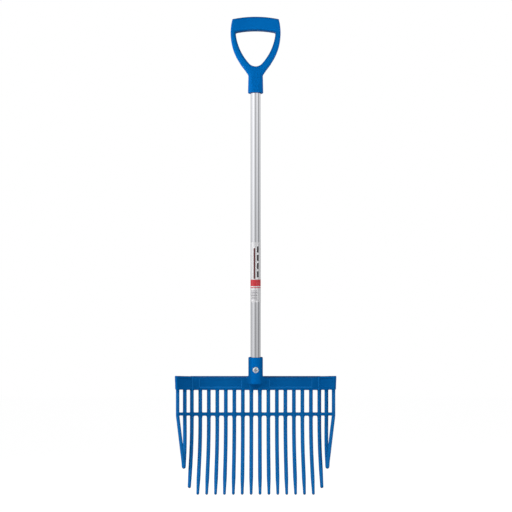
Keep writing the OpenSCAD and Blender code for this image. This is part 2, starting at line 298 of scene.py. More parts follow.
def grip_field(x, y, z):
    """The whole grip: arms, bar and yoke, the sleeve, its bore and the seat of its screw."""
    body = rounded_extrude(grip_outline(x, z), y, GRIP_HALF_DEPTH, GRIP_EDGE)
    radial = np.hypot(x, y)
    part = (SHOULDER_Z - z) / (SHOULDER_Z - MOUTH_Z)
    sleeve_top = SHOULDER_Z + SLEEVE_INTO_YOKE
    middle = (sleeve_top + MOUTH_Z) / 2
    half = (sleeve_top - MOUTH_Z) / 2
    flare = (MOUTH_R - NECK_R) * part
    sleeve = rounded_drum(radial - flare, z - middle, NECK_R, half, MOUTH_EDGE)
    # Flat faces run down from the yoke and die out at the mouth
    flat = np.abs(y) - GRIP_HALF_DEPTH - (MOUTH_R - FLAT_INSET - GRIP_HALF_DEPTH) * part
    sleeve = smooth_max(sleeve, flat, 0.6)
    solid = smooth_min(body, sleeve, 2.5)
    bore = np.maximum(radial - BORE_R, z - MOUTH_Z - GRIP_INSERT)
    solid = smooth_max(solid, -bore, 0.8)
    from_screw = np.hypot(x, z - GRIP_SCREW_Z)
    seat = np.maximum(from_screw - GRIP_SCREW_D - SEAT_CLEAR, GRIP_SEAT_Y - y)
    hole = np.maximum(from_screw - GRIP_SCREW_D / 2 - HOLE_CLEAR, -y)
    return np.maximum(smooth_max(solid, -seat, 0.5), -hole)


# The fork head

def wing_frame(x, y):
    """Coordinates along the right-hand wing from its corner, and through its thickness."""
    u = (x - CORNER_X) * math.cos(WING_ANGLE) - y * math.sin(WING_ANGLE)
    v = (x - CORNER_X) * math.sin(WING_ANGLE) + y * math.cos(WING_ANGLE)
    return u, v


def tine_spot(i):
    """Place of a tine in plan, counted from the middle, and how much the wing lifts it."""
    along = (i + 0.5) * PITCH
    out = max(0, along - CORNER_X)
    spot_x = min(along, CORNER_X) + out * math.cos(WING_ANGLE)
    return spot_x, -out * math.sin(WING_ANGLE), WING_RISE * out / WING_LEN


def tine_field(x, y, z, i, tip_len, tip_r, taper):
    """One tine: straight down, bent forward, then straight to a round tip."""
    sx, sy, lift = tine_spot(i)
    dx = x - sx
    py = y - sy
    pz = z - HEAD_BAR_LOW - lift + STRAIGHT
    angle = np.arctan2(-pz, py + BEND_R)
    end_y = BEND_R * (math.cos(BEND_ANGLE) - 1)
    end_z = -BEND_R * math.sin(BEND_ANGLE)
    tip_s = -(py - end_y) * math.sin(BEND_ANGLE) - (pz - end_z) * math.cos(BEND_ANGLE)
    tip_off = (py - end_y) * math.cos(BEND_ANGLE) - (pz - end_z) * math.sin(BEND_ANGLE)
    bend_len = BEND_R * BEND_ANGLE
    straight = pz > 0
    bent = angle < BEND_ANGLE
    off = np.where(straight, py, np.where(bent, np.hypot(pz, py + BEND_R) - BEND_R, tip_off))
    s = np.where(straight, -pz, np.where(bent, BEND_R * angle, bend_len + tip_s))
    end = bend_len + tip_len
    radius = TINE_R + (tip_r - TINE_R) * smooth_step(end - taper, end, s)
    past = np.maximum(s - end, 0)
    return np.sqrt(dx * dx + off * off + past * past) - radius


def side_tine_field(x, y, z):
    """The side tine and the strut that runs from the end of the wing to its tip."""
    low = HEAD_BAR_LOW - STRAIGHT - BEND_R * math.sin(BEND_ANGLE)
    lean = SIDE_LEAN * smooth_step(RIB_Z, low, z)
    tine = tine_field(x + lean, y, z, ROW, SIDE_TIP_LEN, SIDE_TIP_R, SIDE_TAPER_LEN)
    in_x, in_y, in_lift = tine_spot(ROW)
    out_x, out_y, out_lift = tine_spot(ROW + 1)
    reach = SIDE_TIP_LEN - SIDE_TIP_R
    top = (out_x, out_y, HEAD_BAR_LOW + out_lift + STRUT_INTO_WING)
    elbow = (out_x, out_y, RIB_Z + out_lift - RIB_H / 2)
    tip_y = in_y - BEND_R * (1 - math.cos(BEND_ANGLE)) - reach * math.sin(BEND_ANGLE)
    tip_z = HEAD_BAR_LOW + in_lift - STRAIGHT - BEND_R * math.sin(BEND_ANGLE) - reach * math.cos(BEND_ANGLE)
    upper = segment(x, y, z, elbow, top, STRUT_R)
    lower = segment(x, y, z, elbow, (in_x - SIDE_LEAN / 2, tip_y, tip_z), STRUT_R)
    return smooth_min(tine, np.minimum(upper, lower), 2.5)


def rib_field(x, y, z, i):
    """One bay of the cross rib, from tine i to tine i + 1, with fillets below in the main row."""
    ax, ay, a_lift = tine_spot(i) if i >= 0 else (-PITCH / 2, 0.0, 0.0)
    bx, by, b_lift = tine_spot(i + 1)
    run = math.hypot(bx - ax, by - ay)
    cos_a, sin_a = (bx - ax) / run, (by - ay) / run
    px, py = x - (ax + bx) / 2, y - (ay + by) / 2
    u = px * cos_a + py * sin_a
    v = py * cos_a - px * sin_a
    w = z - RIB_Z - (a_lift + b_lift) / 2 - (b_lift - a_lift) * u / run
    bar = rounded_box(u, v, w, (run / 2 + 1, RIB_DEPTH / 2, RIB_H / 2), 1.4)
    if i + 1 >= ROW:
        return bar
    half_gap = run / 2 - TINE_R
    web = rounded_box(u, v, w + RIB_FILLET / 2, (run / 2 + 1, RIB_DEPTH / 2, (RIB_H + RIB_FILLET) / 2), 1.0)
    side = np.maximum(np.abs(u) - half_gap + RIB_FILLET, 0)
    top = np.maximum(w + RIB_H / 2 + RIB_FILLET, 0)
    return smooth_min(bar, smooth_max(web, RIB_FILLET - np.hypot(side, top), 1), 1)


def panel_cut(across, deep, up, half_w, half_h):
    """Shallow panel with sloping edges; deep counts from the face inwards."""
    inside = smooth_max(np.abs(across) - half_w, np.abs(up) - half_h, 1.5)
    return np.maximum((inside + deep) * math.sqrt(0.5), deep - PANEL_DEPTH)


def header_field(x, y, z):
    """Header bar and right-hand wing, with panels in front and pockets behind."""
    mid = (HEAD_BAR_TOP + HEAD_BAR_LOW) / 2
    half_h = (HEAD_BAR_TOP - HEAD_BAR_LOW) / 2
    edge, low_edge = 1.0, 1.2
    u, v = wing_frame(x, y)
    # The bar ends on the line that halves the corner
    mitre = (x - CORNER_X) * math.cos(WING_ANGLE / 2) - y * math.sin(WING_ANGLE / 2)
    high = z - HEAD_BAR_TOP - TOP_SLOPE * (y - BAR_FRONT)
    bar = smooth_max(smooth_max(BAR_FRONT - y, y - BAR_BACK, edge), high, edge)
    bar = smooth_max(smooth_max(bar, HEAD_BAR_LOW - z, low_edge), mitre, edge)
    lift = WING_RISE * u / WING_LEN
    flare = CORNER_LIFT + (WING_FLARE - CORNER_LIFT) * u / WING_LEN
    low = HEAD_BAR_LOW + lift - z
    # The thin wing's top is steeper than the bar's at the corner, and flatter towards the end
    slope = TOP_SLOPE * (CORNER_SLOPE - SLOPE_FALL * u / WING_LEN)
    high = z - HEAD_BAR_TOP - lift - flare - slope * (v + WING_T / 2)
    end = u - WING_LEN + WING_LEAN * smooth_step(HEAD_BAR_TOP + WING_RISE, HEAD_BAR_LOW + WING_RISE, z)
    wing = smooth_max(smooth_max(np.abs(v) - WING_T / 2, high, edge), low, low_edge)
    wing = smooth_max(smooth_max(wing, end, edge), -u - WING_ROOT, edge)
    blank = smooth_min(bar, wing, 1.5)
    panel_h = (PANEL_TOP - PANEL_LOW) / 2
    up = z - PANEL_LOW - panel_h
    panel_mid = (PANEL_IN + PANEL_OUT) / 2
    bar_panel = panel_cut(x - panel_mid, y - BAR_FRONT, up, (PANEL_OUT - PANEL_IN) / 2, panel_h)
    wing_up = up - lift - flare / 2
    wing_panel = panel_cut(u - WING_LEN / 2, v + WING_T / 2, wing_up, WING_PANEL_HALF, panel_h)
    blank = smooth_max(blank, -bar_panel, 0.3)
    blank = smooth_max(blank, -wing_panel, 0.3)
    # Cored pockets
    first, last = SOCKET_R + BAR_WALL, CORNER_X - BAR_WALL
    step = (last - first + POCKET_RIB) / POCKETS
    half_w = (step - POCKET_RIB) / 2
    n = np.clip(np.floor((x - first) / step), 0, POCKETS - 1)
    centre = first + n * step + half_w
    half = (half_w, BAR_BACK - BAR_FRONT - BAR_WALL + POCKET_PAST, half_h - BAR_WALL)
    pocket = rounded_box(x - centre, y - BAR_BACK - POCKET_PAST, z - mid, half, 2.0)
    return smooth_max(blank, -pocket, 0.8)


def socket_field(x, y, z):
    """Round socket with a tail that ends on the front of the bar."""
    outside = np.hypot(x, y) - SOCKET_R - SOCKET_SKIN
    drum = smooth_max(outside, z - RIM_Z, SOCKET_EDGE)
    tail = (outside + SOCKET_TAIL_Z - z) * math.sqrt(0.5)
    tail = np.maximum(tail, HEAD_BAR_LOW + TAIL_STOP - z)
    return smooth_max(drum, tail, 1.5)


def seat_level(r):
    """How far a flat seat of radius r lies from the shaft's axis, cut just into the round socket."""
    return math.sqrt(SOCKET_R ** 2 - (r + SEAT_CLEAR) ** 2) - SEAT_SINK


def screw_cut(x, y, z):
    """Seats and hole of the head screw."""
    radial = np.hypot(x, z - SCREW_Z)
    head_r = SCREW_HEAD_D / 2
    front = np.maximum(radial - (head_r + SEAT_CLEAR), y + seat_level(head_r))
    back = np.maximum(radial - (WASHER_R + SEAT_CLEAR), seat_level(WASHER_R) - y)
    return np.minimum(np.minimum(front, back), radial - SCREW_D / 2 - HOLE_CLEAR)


def head_field(x, y, z):
    """The whole moulding on the right-hand side; the left is its mirror image."""
    # What lies too far off to matter for these points is left out
    near_header = z.max() > HEAD_BAR_LOW - 12
    solid = np.full(np.broadcast(x, y, z).shape, FAR, dtype=np.float32)
    x_low, x_high = x.min(), x.max()
    for i in range(ROW):
        spot = tine_spot(i)[0]
        if x_low - ROD_REACH < spot < x_high + ROD_REACH:
            if i < ROW - 1:
                tine = tine_field(x, y, z, i, TIP_LEN, TIP_R, TAPER_LEN)
            else:
                tine = tine_field(x, y, z, i, TIP_LEN - CORNER_SHORT, CORNER_TIP_R, TAPER_LEN)
            solid = np.minimum(solid, tine)
    if x_high > tine_spot(ROW)[0] - ROD_REACH:
        solid = np.minimum(solid, side_tine_field(x, y, z))
    ribs = np.full(solid.shape, FAR, dtype=np.float32)
    for i in range(-1, ROW + 1):
        a = tine_spot(i)[0] if i >= 0 else -PITCH / 2
        b = tine_spot(i + 1)[0]
        if a - ROD_REACH < x_high and b + ROD_REACH > x_low:
            ribs = np.minimum(ribs, rib_field(x, y, z, i))
    solid = smooth_min(solid, ribs, 2.2)
    # Rods run straight up past the header and the wings, so they are cut off inside them
    lift = WING_RISE * np.clip(wing_frame(x, y)[0] / WING_LEN, 0, 1)
    solid = np.maximum(solid, z - HEAD_BAR_LOW - lift - ROD_INTO_BAR)
    if near_header:
        solid = smooth_min(solid, header_field(x, y, z), 2.0)
        if x_low < SOCKET_REACH:
            foot = (PITCH / 2, RIDGE_Y, HEAD_BAR_LOW - RIDGE_DROP)
            ridge = segment(x, y, z, foot, (*foot[:2], SOCKET_TAIL_Z), TINE_R)
            solid = smooth_min(solid, ridge, 2.0)
            solid = smooth_min(solid, socket_field(x, y, z), 7.0)
            bore = np.maximum(np.hypot(x, y) - BORE_R, RIM_Z - HEAD_INSERT - z)
            solid = smooth_max(solid, -bore, 0.8)
            solid = smooth_max(solid, -screw_cut(x, y, z), 0.5)
    return solid


# Fasteners: w counts outwards along their own axis, from the seat under the head

def cross_slot(u, v, w, size, depth):
    """Cross recess in a face at w = 0."""
    arm = np.minimum(
        np.maximum(np.abs(u) - size / 2, np.abs(v) - size / 6),
        np.maximum(np.abs(v) - size / 2, np.abs(u) - size / 6),
    )
    return np.maximum(arm + 0.25 * np.minimum(w, 0), -w - depth)


def head_screw_field(x, y, z):
    """Collar and dome with a dished cross recess, and a shank with a thread at its end."""
    u, v, w = x, z - SCREW_Z, -y - seat_level(SCREW_HEAD_D / 2)
    radial = np.hypot(u, v)
    collar = rounded_drum(radial, w - COLLAR_T / 2, SCREW_HEAD_D / 2, COLLAR_T / 2, 0.4)
    dome_r = ((DOME_D / 2) ** 2 + DOME_H ** 2) / (2 * DOME_H)
    dome = np.maximum(np.hypot(radial, w - COLLAR_T - DOME_H + dome_r) - dome_r, 0.5 - w)
    head = smooth_min(collar, dome, 0.8)
    shank = rounded_drum(radial, w + (SHANK_HALF - SHANK_SINK), SCREW_D / 2, SHANK_HALF, 0.5)
    groove = np.abs((w / THREAD_PITCH) % 1 - 0.5) - 0.25
    thread = shank + THREAD_DEPTH * groove * (w < THREAD_TOP)
    dish = rounded_drum(radial, w - (DISH_FLOOR + DISH_HALF), DISH_R, DISH_HALF, 0.4)
    solid = smooth_max(np.minimum(head, thread), -dish, 0.4)
    slot = cross_slot(u, v, w - DISH_FLOOR, 1.1 * SCREW_D, SLOT_DEPTH)
    return smooth_max(solid, -slot, 0.3)


def washer_field(x, y, z):
    """Flat ring on the seat at the back of the socket."""
    radial = np.hypot(x, z - SCREW_Z)
    plate = rounded_drum(radial, y - seat_level(WASHER_R) - WASHER_T / 2, WASHER_R, WASHER_T / 2, 0.3)
    return np.maximum(plate, SCREW_D / 2 + HOLE_CLEAR - radial)


def nut_field(x, y, z):
    """Bevelled hexagon with the round collar of a lock nut."""
    u, v, w = x, z - SCREW_Z, y - (seat_level(WASHER_R) + WASHER_T)
    radial = np.hypot(u, v)
    hexagon = np.full(radial.shape, -FAR)
    for k in range(3):
        turn = math.radians(60 * k)
        across = np.abs(u * math.cos(turn) + v * math.sin(turn))
        hexagon = np.maximum(hexagon, across - NUT_HALF_FLATS)
    hexagon = np.maximum(hexagon, np.abs(w - NUT_HALF_H) - NUT_HALF_H)
    hexagon = smooth_max(hexagon, radial + np.abs(w - NUT_HALF_H) - NUT_BEVEL, 0.3)
    collar = rounded_drum(radial, w - NUT_COLLAR_HALF, NUT_COLLAR_R, NUT_COLLAR_HALF, 0.8)
    solid = smooth_min(hexagon, collar, 0.3)
    return np.maximum(solid, SCREW_D / 2 + NUT_CLEAR - radial)


def grip_screw_field(x, y, z):
    """Short screw with a tapered head and a cross recess."""
    u, v, w = x, z - GRIP_SCREW_Z, y - GRIP_SEAT_Y
    radial = np.hypot(u, v)
    tapered = radial + 0.25 * np.maximum(w, 0)
    head = rounded_drum(tapered, w - GRIP_HEAD_HALF, GRIP_SCREW_D, GRIP_HEAD_HALF, 0.5)
    shank_w = w + (GRIP_SHANK_HALF - GRIP_SHANK_SINK)
    shank = rounded_drum(radial, shank_w, GRIP_SCREW_D / 2, GRIP_SHANK_HALF, 0.4)
    solid = smooth_min(head, shank, 0.3)
    slot = cross_slot(u, v, w - 2 * GRIP_HEAD_HALF, 0.9 * GRIP_SCREW_D, 1.2)
    return smooth_max(solid, -slot, 0.2)


# Meshing

def placed(name, data):
    """New object with that data, in the scene."""
    item = bpy.data.objects.new(name, data)
    bpy.context.scene.collection.objects.link(item)
    return item


def level_set(field, low, high, voxel, mirrored):
    """Samples a field in slabs along X into a sparse grid. A mirrored field is only asked for x >= 0."""
    band = 3 * voxel
    grid = openvdb.FloatGrid(band)
    counts = [int(math.ceil((b - a) / voxel)) + 1 for a, b in zip(low, high)]
    y = (low[1] + voxel * np.arange(counts[1], dtype=np.float32))[None, :, None]
    z = (low[2] + voxel * np.arange(counts[2], dtype=np.float32))[None, None, :]
    first = 0 if mirrored else int(math.floor(low[0] / voxel))
    last = int(math.ceil(high[0] / voxel))
    for start in range(first, last, SLAB):
        index = np.arange(start, min(start + SLAB, last))
        x = ((index + 0.5) * voxel).astype(np.float32)[:, None, None]
        d = field(x, y, z) + np.zeros((len(index), counts[1], counts[2]))
        d = np.clip(d, -band, band).astype(np.float32)
        grid.copyFromArray(d, ijk=(start, 0, 0))
        if mirrored:
            grid.copyFromArray(np.ascontiguousarray(d[::-1]), ijk=(-start - len(index), 0, 0))
    return grid


def sample(field, points, mirrored):
    """Field values at single points, taken in groups that lie close together in X."""
    x = np.abs(points[:, 0]) if mirrored else points[:, 0]
    values = np.empty(len(points))
    axes = (x, points[:, 1], points[:, 2])
    for group in np.array_split(np.argsort(x), max(1, len(points) // GROUP)):
        values[group] = field(*(axis[group][:, None, None] for axis in axes)).ravel()
    return values


def field_normals(field, points, step, mirrored):
    """Outward unit normals from the slope of the field."""
    shifts = step * np.eye(3)
    rises = [sample(field, points + d, mirrored) - sample(field, points - d, mirrored) for d in shifts]
    slope = np.stack(rises, 1)
    return slope / np.maximum(np.linalg.norm(slope, axis=1, keepdims=True), 1e-9)


def thinned(mesh, keep):
    """The same mesh with only a share of its faces kept."""
    piece = placed("thinning", mesh)
    modifier = piece.modifiers.new("fewer faces", "DECIMATE")
    modifier.ratio = keep
    depsgraph = bpy.context.evaluated_depsgraph_get()
    result = bpy.data.meshes.new_from_object(piece.evaluated_get(depsgraph))
    bpy.data.objects.remove(piece)
    bpy.data.meshes.remove(mesh)
    return result


def moulded(name, field, low, high, voxel, keep, mirrored=False):
    """Makes a closed mesh object from a field, with a share of the sampled faces kept."""
    grid = level_set(field, low, high, voxel, mirrored)
    points, tris, quads = grid.convertToPolygons(isovalue=0.0, adaptivity=0.0)
    points = np.array(points, dtype=np.float64) * voxel + np.array([0.5 * voxel, low[1], low[2]])
    mesh = bpy.data.meshes.new("sampled")
    mesh.from_pydata((points * MM).tolist(), [], [*quads.tolist(), *tris.tolist()])
    mesh = thinned(mesh, keep)
    mesh.name = name
    places = np.empty(3 * len(mesh.vertices))
    mesh.vertices.foreach_get("co", places)
    points = places.reshape(-1, 3) / MM
    # Two steps along the slope bring each point onto the true surface
    for _ in range(2):
        away = np.clip(sample(field, points, mirrored), -voxel / 4, voxel / 4)
        points -= away[:, None] * field_normals(field, points, 0.2 * voxel, mirrored)
    mesh.vertices.foreach_set("co", (points * MM).ravel())
    mesh.validate()
    mesh.polygons.foreach_set("use_smooth", [True] * len(mesh.polygons))
    normals = field_normals(field, points, 0.4 * voxel, mirrored)
    mesh.normals_split_custom_set_from_vertices(normals.tolist())
    return placed(name, mesh)


def dress(piece, material, slot, *nodes):
    """Gives a piece its material and its body, and hides the nodes that it stands for. The slot is not used.
    """
    piece.data.materials.clear()
    piece.data.materials.append(material)
    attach(piece, BODY)
    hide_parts(*nodes)


# Pieces that are turned or wrapped round the shaft

def plain_piece(name, points, faces):
    """Object from points in millimetres and faces."""
    mesh = bpy.data.meshes.new(name)
    mesh.from_pydata([tuple(c * MM for c in point) for point in points], [], faces)
    mesh.validate()
    return placed(name, mesh)


def ring_piece(name, rings):
    """Object from rings of points; the last ring joins the first."""
    width = len(rings[0])
    count = len(rings)
    faces = []
    for i in range(count):
        for j in range(width):
            k = (j + 1) % width
            n = (i + 1) % count
            faces.append((i * width + j, i * width + k, n * width + k, n * width + j))
    return plain_piece(name, [point for ring in rings for point in ring], faces)


def shade(piece, angle):
    """Smooth shading, with edges sharper than the angle kept."""
    mesh = piece.data
    mesh.polygons.foreach_set("use_smooth", [True] * len(mesh.polygons))
    mesh.set_sharp_from_angle(angle=math.radians(angle))


def tube_piece():
    """Drawn tube with slightly broken edges at both ends."""
    low, high = (corner.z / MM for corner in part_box("shaft_tube"))
    inner = TUBE_R - TUBE_WALL
    chamfer = TUBE_CHAMFER
    profile = [(TUBE_R - chamfer, low), (TUBE_R, low + chamfer)]
    rings = 24
    profile += [(TUBE_R, low + (high - low) * n / rings) for n in range(1, rings)]
    profile += [(TUBE_R, high - chamfer), (TUBE_R - chamfer, high)]
    profile += [(inner + chamfer, high), (inner, high - chamfer)]
    profile += [(inner, low + chamfer), (inner + chamfer, low)]
    sides = 128
    turns = [2 * math.pi * k / sides for k in range(sides)]
    circles = [[(r * math.cos(t), r * math.sin(t), z) for t in turns] for r, z in profile]
    piece = ring_piece("shaft_tube_drawn", circles)
    shade(piece, 30)
    return piece


def label_face(radius, across, up):
    """Rows of points of one side of the label, with its corners rounded."""
    rows = []
    for i in range(up + 1):
        z = LABEL_TOP - LABEL_LEN * i / up
        to_end = min(LABEL_TOP - z, z - LABEL_TOP + LABEL_LEN)
        inside = max(0, LABEL_CORNER - to_end)
        bite = LABEL_CORNER - math.sqrt(max(0, LABEL_CORNER ** 2 - inside ** 2))
        half = LABEL_WRAP / 2 - bite / TUBE_R
        turns = [half * (2 * j / across - 1) for j in range(across + 1)]
        rows.append([(radius * math.sin(t), -radius * math.cos(t), z) for t in turns])
    return rows


def label_piece():
    """Thin film round the front of the tube, with rounded corners."""
    across, up = 72, 48
    width = across + 1
    inner = label_face(TUBE_R + LABEL_GAP, across, up)
    outer = label_face(TUBE_R + LABEL_T, across, up)
    points = [p for face in (inner, outer) for row in face for p in row]
    shift = width * (up + 1)
    faces = []
    for i in range(up):
        for j in range(across):
            a = i * width + j
            quad = (a, a + 1, a + width + 1, a + width)
            faces.append(quad)
            faces.append(tuple(q + shift for q in quad[::-1]))
    rim = list(range(width))
    rim += [i * width + across for i in range(1, up + 1)]
    rim += [up * width + j for j in range(across - 1, -1, -1)]
    rim += [i * width for i in range(up - 1, 0, -1)]
    for a, b in zip(rim, rim[1:] + rim[:1]):
        faces.append((b, a, a + shift, b + shift))
    piece = plain_piece("shaft_label_film", points, faces)
    shade(piece, 40)
    return piece


# Materials: colours are linear, and pairs are the two ends that noise runs between

SMOOTH_BLUE = ((0.0, 0.115, 0.405), (0.001, 0.136, 0.455))
# The head's darker blue stands for its grain and for painted shade
GRAIN_AND_SHADE_BLUE = ((0.001, 0.083, 0.279), (0.002, 0.098, 0.313))
# Lighter blue of the tines: painted light
TINE_LIT_BLUE = ((0.006, 0.114, 0.342), (0.007, 0.130, 0.380))
# Painted highlight along the head's panel edges
PANEL_EDGE_HIGHLIGHT_BLUE = (0.007, 0.132, 0.395)
# Painted shade along the grip's hand opening, how far it reaches, and how much less it reaches into the cross
# bar
OPENING_SHADE_BLUE = (0.001, 0.083, 0.270)
OPENING_SHADE_REACH = 6.0
OPENING_SHADE_LESS = 2.5
BLUE_SHEEN = (0.1, 0.45, 1.0, 1)
ALUMINIUM = ((0.785, 0.795, 0.83), (0.885, 0.89, 0.925))
ZINC = ((0.69, 0.78, 0.89), (0.81, 0.88, 0.95))
# Darker grey in the recess of the head screw
RECESS_GREY = (0.46, 0.48, 0.51)
FILM = ((0.80, 0.80, 0.82), (0.85, 0.85, 0.87))
RED = (0.46, 0.03, 0.04)
MAROON = (0.085, 0.02, 0.022)
DARK = (0.015, 0.012, 0.014)
GREY = (0.20, 0.19, 0.21)
BUMP_DEPTH = 0.0002


def new_material(name):
    """A material with its node tree and its shader."""
    material = bpy.data.materials.new(name)
    material.use_nodes = True
    return material, material.node_tree, material.node_tree.nodes["Principled BSDF"]


def add_node(tree, kind, **values):
    """Adds a node; a value goes to the property of that name, or else to the socket."""
    node = tree.nodes.new("ShaderNode" + kind)
    for key, value in values.items():
        if hasattr(node, key):
            setattr(node, key, value)
        else:
            node.inputs[key.replace("_", " ")].default_value = value
    return node


def maths(tree, operation, a, b=0.0):
    """One sum; a and b are numbers or sockets."""
    node = tree.nodes.new("ShaderNodeMath")
    node.operation = operation
    for socket, value in zip(node.inputs, (a, b)):
        if isinstance(value, (int, float)):
            socket.default_value = value
        else:
            tree.links.new(value, socket)
    return node.outputs[0]


def noise(tree, scale, stretch=(1, 1, 1), detail=3.0):
    """Noise in object space, scale in features per metre."""
    place = add_node(tree, "TexCoord")
    mapping = add_node(tree, "Mapping")
    mapping.inputs["Scale"].default_value = stretch
    texture = add_node(tree, "TexNoise", Scale=scale, Detail=detail)
    tree.links.new(place.outputs["Object"], mapping.inputs["Vector"])
    tree.links.new(mapping.outputs["Vector"], texture.inputs["Vector"])
    return texture.outputs["Fac"]


def remap(tree, value, low, high, start=0.3, end=0.7, shape="LINEAR"):
    """Value that runs from low to high while the one given runs from start to end."""
    ends = {"From Min": start, "From Max": end, "To Min": low, "To Max": high}
    node = add_node(tree, "MapRange", interpolation_type=shape)
    for key, number in ends.items():
        node.inputs[key].default_value = number
    tree.links.new(value, node.inputs["Value"])
    return node.outputs["Result"]


def mix_colour(tree, factor, first, second):
    """Colour between two; each is a colour or a socket."""
    node = tree.nodes.new("ShaderNodeMix")
    node.data_type = "RGBA"
    tree.links.new(factor, node.inputs["Factor"])
    sockets = [i for i in node.inputs if i.type == "RGBA"]
    for socket, value in zip(sockets, (first, second)):
        if isinstance(value, tuple):
            socket.default_value = (*value, 1)
        else:
            tree.links.new(value, socket)
    return next(o for o in node.outputs if o.type == "RGBA")


def bump(tree, shader, height, strength):
    """Fine relief from a noise."""
    node = add_node(tree, "Bump", Strength=strength, Distance=BUMP_DEPTH)
    tree.links.new(height, node.inputs["Height"])
    tree.links.new(node.outputs["Normal"], shader.inputs["Normal"])


def own_place(tree):
    """X, Y and Z of a point in the part's frame, as sockets in millimetres."""
    place = add_node(tree, "TexCoord")
    parts = add_node(tree, "SeparateXYZ")
    tree.links.new(place.outputs["Object"], parts.inputs["Vector"])
    return [maths(tree, "DIVIDE", socket, MM) for socket in parts.outputs]


def apart(tree, a, b):
    """How far two values lie apart."""
    return maths(tree, "ABSOLUTE", maths(tree, "SUBTRACT", a, b))


def distance(tree, a, b):
    """Length of a flat vector with the parts a and b."""
    squares = maths(tree, "ADD", maths(tree, "POWER", a, 2.0), maths(tree, "POWER", b, 2.0))
    return maths(tree, "SQRT", squares)


def socket_highlight_share(tree):
    """Painted highlight down the middle of the head's socket: 1 there, fading out towards its sides; 0 on the
    rest of the head.
    """
    x, _, z = own_place(tree)
    near = remap(tree, maths(tree, "ABSOLUTE", x), 1.0, 0.0, 0.5 * SOCKET_R, 0.8 * SOCKET_R)
    high = remap(tree, z, 0.0, 1.0, SOCKET_TAIL_Z - 4, SOCKET_TAIL_Z)
    return maths(tree, "MULTIPLY", near, high)


def tine_lit_share(tree):
    """Painted light on the tines: 1 on the tines, 0 on the header, and between the two on the cross rib."""
    _, _, z = own_place(tree)
    below = remap(tree, z, 1.0, 0.0, HEAD_BAR_LOW - 5, HEAD_BAR_LOW - 1)
    clear = remap(tree, apart(tree, z, RIB_Z), 0.4, 1.0, RIB_H / 2, RIB_H)
    return maths(tree, "MULTIPLY", below, clear)


def panel_edge_highlight_share(tree):
    """Painted highlight: 1 along the edges of the bar's front panels and down the folds at the wings."""
    x, y, z = own_place(tree)
    aside = maths(tree, "ABSOLUTE", x)
    out_x = apart(tree, aside, (PANEL_IN + PANEL_OUT) / 2)
    out_z = apart(tree, z, (PANEL_TOP + PANEL_LOW) / 2)
    past_x = maths(tree, "SUBTRACT", out_x, (PANEL_OUT - PANEL_IN - PANEL_DEPTH) / 2)
    past_z = maths(tree, "SUBTRACT", out_z, (PANEL_TOP - PANEL_LOW - PANEL_DEPTH) / 2)
    from_edge = maths(tree, "ABSOLUTE", maths(tree, "MAXIMUM", past_x, past_z))
    from_fold = apart(tree, aside, CORNER_X - 1)
    line = remap(tree, maths(tree, "MINIMUM", from_edge, from_fold), 1.0, 0.0, 0.5, 1.2)
    in_front = maths(tree, "LESS_THAN", y, 0.0)
    on_bar = maths(tree, "LESS_THAN", out_z, PANEL_TOP - PANEL_LOW)
    return maths(tree, "MULTIPLY", line, maths(tree, "MULTIPLY", in_front, on_bar))


def opening_shade_share(tree):
    """Painted shade: 1 along the edge of the hand opening, fading out into the arms, the cross bar and the
    yoke.
    """
    x, _, z = own_place(tree)
    aside = maths(tree, "ABSOLUTE", x)
    from_middle = maths(tree, "ADD", aside, OPEN_R - HALF_OPEN)
    from_level = maths(tree, "SUBTRACT", z, OPEN_LEVEL)
    past_side = maths(tree, "SUBTRACT", distance(tree, from_middle, from_level), OPEN_R)
    # The painted shade reaches less far into the cross bar than into the arms
    from_arch = distance(tree, aside, maths(tree, "ADD", z, ARCH_R))
    past_top = maths(tree, "SUBTRACT", from_arch, ARCH_R - OPENING_SHADE_LESS)
    edge = remap(tree, maths(tree, "MAXIMUM", past_side, past_top), 1.0, 0.0, 1.0, OPENING_SHADE_REACH)
    above_yoke = remap(tree, z, 0.0, 1.0, -OPEN_H + 4, -OPEN_H + 24)
    return maths(tree, "MULTIPLY", edge, above_yoke)


def blue_plastic(name, grained):
    """Satin moulded plastic: fine grain, faint flow clouds and rubbed patches. The grained head is rougher
    and is painted darker, for its grain and as painted shade, with a painted highlight down its socket,
    painted highlights along its panel edges and painted light on its tines; the smooth grip has painted shade
    along its hand opening.
    """
    material, tree, shader = new_material(name)
    clouds = remap(tree, noise(tree, 18, (1, 1, 0.4)), 0.0, 1.0)
    colour = mix_colour(tree, clouds, *SMOOTH_BLUE)
    if grained:
        # The grained head is darker, partly for its grain and partly as painted shade
        dark = mix_colour(tree, clouds, *GRAIN_AND_SHADE_BLUE)
        # Tines painted lighter, as painted light
        dark = mix_colour(tree, tine_lit_share(tree), dark, mix_colour(tree, clouds, *TINE_LIT_BLUE))
        # Painted highlight along the panel edges and the folds at the wings
        dark = mix_colour(tree, panel_edge_highlight_share(tree), dark, PANEL_EDGE_HIGHLIGHT_BLUE)
        # Painted highlight down the middle of the socket, in the smooth blue
        colour = mix_colour(tree, socket_highlight_share(tree), dark, colour)
    else:
        # Painted shade along the edge of the hand opening
        colour = mix_colour(tree, opening_shade_share(tree), colour, OPENING_SHADE_BLUE)
    tree.links.new(colour, shader.inputs["Base Color"])
    patches = noise(tree, 60, (1, 1, 0.5), 5)
    smooth, rough = (0.64, 0.78) if grained else (0.5, 0.64)
    tree.links.new(remap(tree, patches, smooth, rough), shader.inputs["Roughness"])
    shader.inputs["Specular IOR Level"].default_value = 0.06 if grained else 0.12
    shader.inputs["Specular Tint"].default_value = BLUE_SHEEN
    bump(tree, shader, noise(tree, 1400, detail=2), 0.08)
    return material


